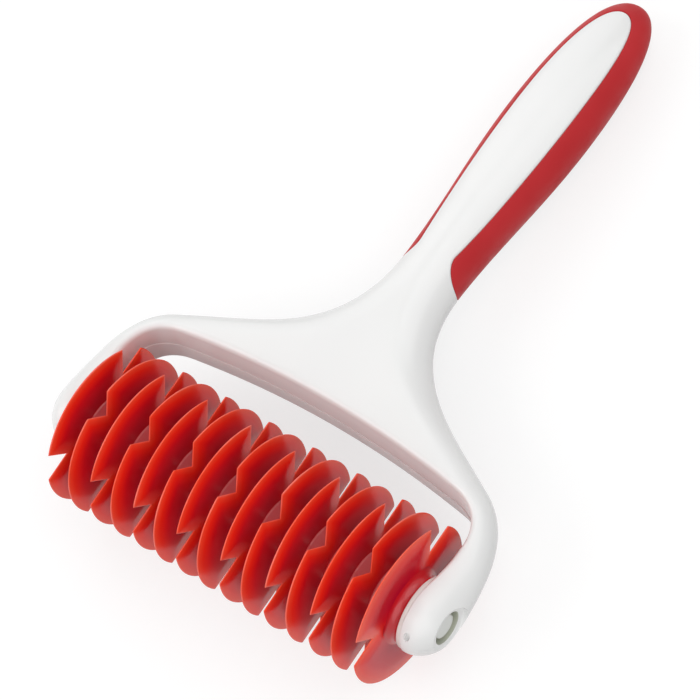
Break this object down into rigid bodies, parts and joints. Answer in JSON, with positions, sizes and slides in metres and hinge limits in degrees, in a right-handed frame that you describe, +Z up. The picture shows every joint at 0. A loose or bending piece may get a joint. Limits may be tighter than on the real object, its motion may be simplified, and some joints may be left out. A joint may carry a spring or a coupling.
{
  "type": "lattice roller cutter",
  "caption": "Hand-held lattice pastry cutter: a roller of notched cutting discs turns freely in a forked frame with a rounded, soft-gripped handle.",
  "frame": {"origin": "middle of the footprint, on the surface that the tool lies on", "axes": "+Z up from that surface, +Y towards the end of the handle, +X along the roller axis, so that the tool lies on its discs and on the end of its handle"},
  "size_m": [0.1432, 0.2226, 0.05],
  "materials": {
    "frame_white": "glossy moulded white plastic",
    "grip_red": "satin soft crimson moulding",
    "cutter_red": "glossy, slightly translucent red plastic",
    "bearing_white": "smooth natural white plastic"
  },
  "bodies": {
    "frame": {"upper_shell": "frame_white", "lower_shell": "frame_white", "grip_band": "grip_red", "left_bush": "bearing_white", "right_bush": "bearing_white"},
    "roller": {"cutting_disc_01": "cutter_red", "cutting_disc_02": "cutter_red", "cutting_disc_03": "cutter_red", "cutting_disc_04": "cutter_red", "cutting_disc_05": "cutter_red", "cutting_disc_06": "cutter_red", "cutting_disc_07": "cutter_red", "cutting_disc_08": "cutter_red", "cutting_disc_09": "cutter_red", "cutting_disc_10": "cutter_red", "cutting_disc_11": "cutter_red", "cutting_disc_12": "cutter_red", "cutting_disc_13": "cutter_red", "cutting_disc_14": "cutter_red", "cutting_disc_15": "cutter_red", "spacer_01": "cutter_red", "spacer_02": "cutter_red", "spacer_03": "cutter_red", "spacer_04": "cutter_red", "spacer_05": "cutter_red", "spacer_06": "cutter_red", "spacer_07": "cutter_red", "spacer_08": "cutter_red", "spacer_09": "cutter_red", "spacer_10": "cutter_red", "spacer_11": "cutter_red", "spacer_12": "cutter_red", "spacer_13": "cutter_red", "spacer_14": "cutter_red", "left_collar": "cutter_red", "right_collar": "cutter_red", "axle": "bearing_white"}
  },
  "joints": [
    {"name": "roller_spin", "type": "hinge", "parent": "frame", "child": "roller", "pos_m": [0, -0.08628, 0.02498], "axis": [1, 0, 0], "continuous": true}
  ]
}
